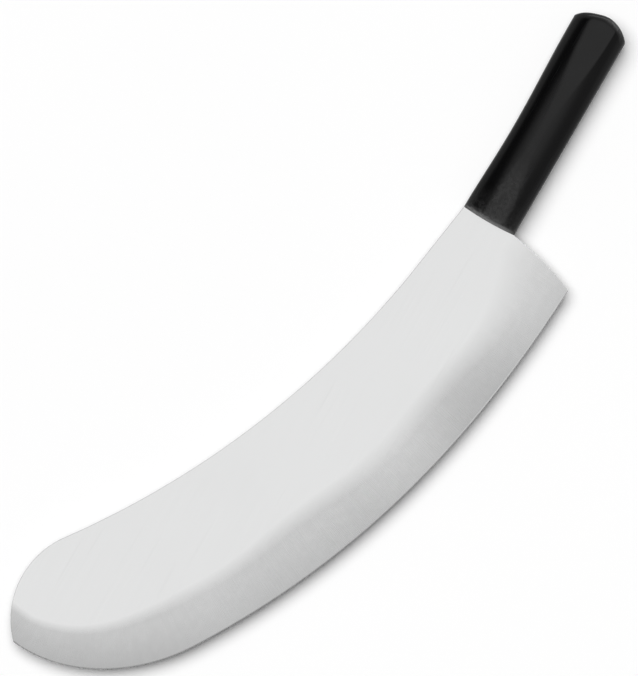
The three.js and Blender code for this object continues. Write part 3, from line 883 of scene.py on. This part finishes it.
def handle_plastic(finish, handle, marks, scratches):
    """Black moulded plastic with a fine spark-eroded grain, rubbed grey at the front, a painted sheen on the upper
    crown near the front, and a painted highlight along the edges of front and butt.
    """
    material, tree, shader = start_finish("handle_plastic")
    place = node(tree, "ShaderNodeTexCoord").outputs["Object"]
    grain = noise(tree, place, scale=1400.0)
    touched = effect(tree, marks, {"Place": place, "Patches": 32.0})
    hairs = effect(tree, scratches, {"Place": place, "Fineness": 320.0})
    spot = node(tree, "ShaderNodeSeparateXYZ", {"Vector": place}).outputs
    # Painted sheen: the upper crown lighter near the front; the rubbing all round the front is real.
    crown = stretch(tree, spot["Z"], HANDLE_HIGH.z - CROWN_DEPTH, HANDLE_HIGH.z)
    crown_sheen = calc(tree, "MULTIPLY", crown, near_front(tree, spot, *CROWN_SHEEN_REACH))
    rubbed = calc(tree, "MAXIMUM", near_front(tree, spot, *RUBBED_ROUND), crown_sheen)
    mottled = stretch(tree, noise(tree, place, scale=420.0, detail=3.0), *MOTTLE_RANGE, to_low=0.35)
    rubbed = calc(tree, "MULTIPLY", rubbed, mottled)
    rubbed = calc(tree, "MAXIMUM", rubbed, calc(tree, "MULTIPLY", touched, 0.1))
    # Painted highlight along the edges of front and butt.
    tone_shift = calc(tree, "ADD", front_wear(tree, spot), butt_wear(tree, spot, handle))
    tone_shift = calc(tree, "MULTIPLY", tone_shift, mottled)
    plastic = mix_tints(tree, rubbed, opaque(finish.plastic), opaque(finish.rubbed))
    plastic = mix_tints(tree, tone_shift, plastic, opaque(finish.worn_edge))
    tree.links.new(plastic, shader.inputs["Base Color"])
    rough = mix_values(tree, touched, finish.plastic_rough, finish.touched_rough)
    tree.links.new(add_shares(tree, rough, (hairs, 0.06)), shader.inputs["Roughness"])
    shader.inputs["IOR"].default_value = 1.38
    relief = calc(tree, "SUBTRACT", grain, calc(tree, "MULTIPLY", hairs, 0.3))
    tree.links.new(bump(tree, relief, distance=0.03 * MM, strength=0.2), shader.inputs["Normal"])
    return material


def pale_floor(stage):
    """Matt pale sheet under the knife, which the knife mirrors as grey."""
    material, tree, shader = start_finish("pale_floor")
    place = node(tree, "ShaderNodeTexCoord").outputs["Object"]
    clouds = stretch(tree, noise(tree, place, scale=3.0), *CLOUD_RANGE)
    fainter = tuple(0.995 * value for value in stage.floor)
    sheet = mix_tints(tree, clouds, opaque(stage.floor), opaque(fainter))
    ray = node(tree, "ShaderNodeLightPath").outputs["Is Glossy Ray"]
    tree.links.new(mix_tints(tree, ray, sheet, opaque(stage.floor_mirrored)), shader.inputs["Base Color"])
    shader.inputs["Roughness"].default_value = 1.0
    shader.inputs["Specular IOR Level"].default_value = 0.0
    return material


# ---------------------------------------------------------------- stage


def make_floor(stage):
    """Plain floor that keeps the knife's shadow."""
    half = stage.floor_size / 2
    mesh = bpy.data.meshes.new("floor")
    mesh.from_pydata([(-half, -half, 0), (half, -half, 0), (half, half, 0), (-half, half, 0)], [], [(0, 1, 2, 3)])
    mesh.materials.append(pale_floor(stage))
    floor = bpy.data.objects.new("floor", mesh)
    bpy.context.scene.collection.objects.link(floor)


def make_sky(stage):
    """Soft room light on a white ground, and what the knife mirrors.

    It mirrors a panel overhead, grey walls, a screen on either side, lighter walls beyond the tip and the butt,
    and a low window beyond the butt.
    """
    world = bpy.data.worlds.new("studio")
    world.use_nodes = True
    bpy.context.scene.world = world
    tree = world.node_tree
    outward = node(tree, "ShaderNodeTexCoord").outputs["Generated"]
    way = node(tree, "ShaderNodeSeparateXYZ", {"Vector": outward}).outputs
    screens = stretch(tree, way["Y"], *SCREENS_Y, stage.spine_side, stage.edge_side)
    between_ends = stretch(tree, calc(tree, "ABSOLUTE", way["X"]), *SCREENS_X)
    screened = calc(tree, "MULTIPLY", between_ends, stretch(tree, way["Z"], *SCREENS_Z))
    walls = mix_values(tree, screened, stage.walls, screens)
    ends = calc(tree, "MAXIMUM", stretch(tree, way["X"], *TIP_WALL_X), stretch(tree, way["X"], *BUTT_WALL_X))
    ends = calc(tree, "MULTIPLY", ends, stretch(tree, way["Y"], *END_WALLS_Y))
    walls = mix_values(tree, ends, walls, stage.ends)
    window = calc(tree, "MULTIPLY", stretch(tree, way["X"], *WINDOW_X), stretch(tree, way["Z"], *WINDOW_Z))
    walls = mix_values(tree, window, walls, stage.window)
    mirrored = mix_values(tree, stretch(tree, way["Z"], *PANEL_Z), walls, stage.overhead)
    ray = node(tree, "ShaderNodeLightPath").outputs
    shed = mix_values(tree, ray["Is Glossy Ray"], stage.ambient, mirrored)
    tree.links.new(mix_values(tree, ray["Is Camera Ray"], shed, 1.0), tree.nodes["Background"].inputs["Color"])


def make_lamp(stage):
    """Broad soft key light, which stands away from overhead by a tilt, in a direction round the knife."""
    lamp = bpy.data.lights.new("key_light", "SUN")
    lamp.energy = stage.key_level
    lamp.angle = stage.key_width
    light = bpy.data.objects.new("key_light", lamp)
    light.rotation_euler = (0.0, stage.key_tilt, stage.key_side)
    light.visible_glossy = False
    bpy.context.scene.collection.objects.link(light)


def make_camera(stage, height):
    """Camera that looks straight down on the knife, turned as the photograph is."""
    lens = bpy.data.cameras.new("camera")
    lens.lens = stage.lens
    distance = max(PHOTO_SIZE) * stage.pixel * lens.lens / lens.sensor_width
    camera = bpy.data.objects.new("camera", lens)
    spot = Matrix.Translation((stage.middle_x, stage.middle_y, height + distance))
    camera.matrix_world = spot @ Matrix.Rotation(stage.camera_turn, 4, "Z")
    bpy.context.scene.collection.objects.link(camera)
    bpy.context.scene.camera = camera


# ---------------------------------------------------------------- operators and panel


class MEZZALUNA_OT_blade(bpy.types.Operator):
    """Makes the ground steel blade"""

    bl_idname = "mezzaluna.blade"
    bl_label = "Ground blade"
    bl_options = {"REGISTER", "UNDO"}

    def execute(self, context):
        scene = context.scene
        lines, marks, scratches = shared_effects()
        steel = blade_steel(scene.mezzaluna_finish, lines, marks, scratches)
        edge = honed_edge(scene.mezzaluna_finish, lines, scratches)
        make_blade(scene.mezzaluna_blade, scene.mezzaluna_handle, [steel, edge])
        return {"FINISHED"}


class MEZZALUNA_OT_handle(bpy.types.Operator):
    """Makes the moulded handle"""

    bl_idname = "mezzaluna.handle"
    bl_label = "Moulded handle"
    bl_options = {"REGISTER", "UNDO"}

    def execute(self, context):
        scene = context.scene
        _, marks, scratches = shared_effects()
        plastic = handle_plastic(scene.mezzaluna_finish, scene.mezzaluna_handle, marks, scratches)
        make_handle(scene.mezzaluna_handle, [plastic])
        return {"FINISHED"}


class MEZZALUNA_OT_stage(bpy.types.Operator):
    """Lays the pale floor and sets up light and camera"""

    bl_idname = "mezzaluna.stage"
    bl_label = "Stage"
    bl_options = {"REGISTER", "UNDO"}

    def execute(self, context):
        stage = context.scene.mezzaluna_stage
        make_floor(stage)
        make_sky(stage)
        make_lamp(stage)
        make_camera(stage, (BLADE_LOW.z + BLADE_HIGH.z) / 2)
        context.scene.view_settings.view_transform = "Standard"
        return {"FINISHED"}


class MEZZALUNA_PT_sidebar(bpy.types.Panel):
    """Settings and makers of the mezzaluna"""

    bl_idname = "MEZZALUNA_PT_sidebar"
    bl_label = "Mezzaluna"
    bl_space_type = "VIEW_3D"
    bl_region_type = "UI"
    bl_category = "Mezzaluna"

    def draw(self, context):
        for operator, settings in (
            (MEZZALUNA_OT_blade, "mezzaluna_blade"),
            (MEZZALUNA_OT_handle, "mezzaluna_handle"),
            (None, "mezzaluna_finish"),
            (MEZZALUNA_OT_stage, "mezzaluna_stage"),
        ):
            box = self.layout.box()
            group = getattr(context.scene, settings)
            for name in group.bl_rna.properties.keys():
                if name not in ("rna_type", "name"):
                    box.prop(group, name)
            if operator:
                box.operator(operator.bl_idname)


SETTINGS = {
    "mezzaluna_blade": MEZZALUNA_PG_blade,
    "mezzaluna_handle": MEZZALUNA_PG_handle,
    "mezzaluna_finish": MEZZALUNA_PG_finish,
    "mezzaluna_stage": MEZZALUNA_PG_stage,
}
CLASSES = (
    *SETTINGS.values(),
    MEZZALUNA_OT_blade,
    MEZZALUNA_OT_handle,
    MEZZALUNA_OT_stage,
    MEZZALUNA_PT_sidebar,
)


def register():
    for cls in CLASSES:
        bpy.utils.register_class(cls)
    for name, group in SETTINGS.items():
        setattr(bpy.types.Scene, name, PointerProperty(type=group))


def unregister():
    for name in SETTINGS:
        delattr(bpy.types.Scene, name)
    for cls in reversed(CLASSES):
        bpy.utils.unregister_class(cls)


def main():
    register()
    bpy.ops.mezzaluna.stage()
    bpy.ops.mezzaluna.blade()
    bpy.ops.mezzaluna.handle()


if __name__ == "__main__":
    main()
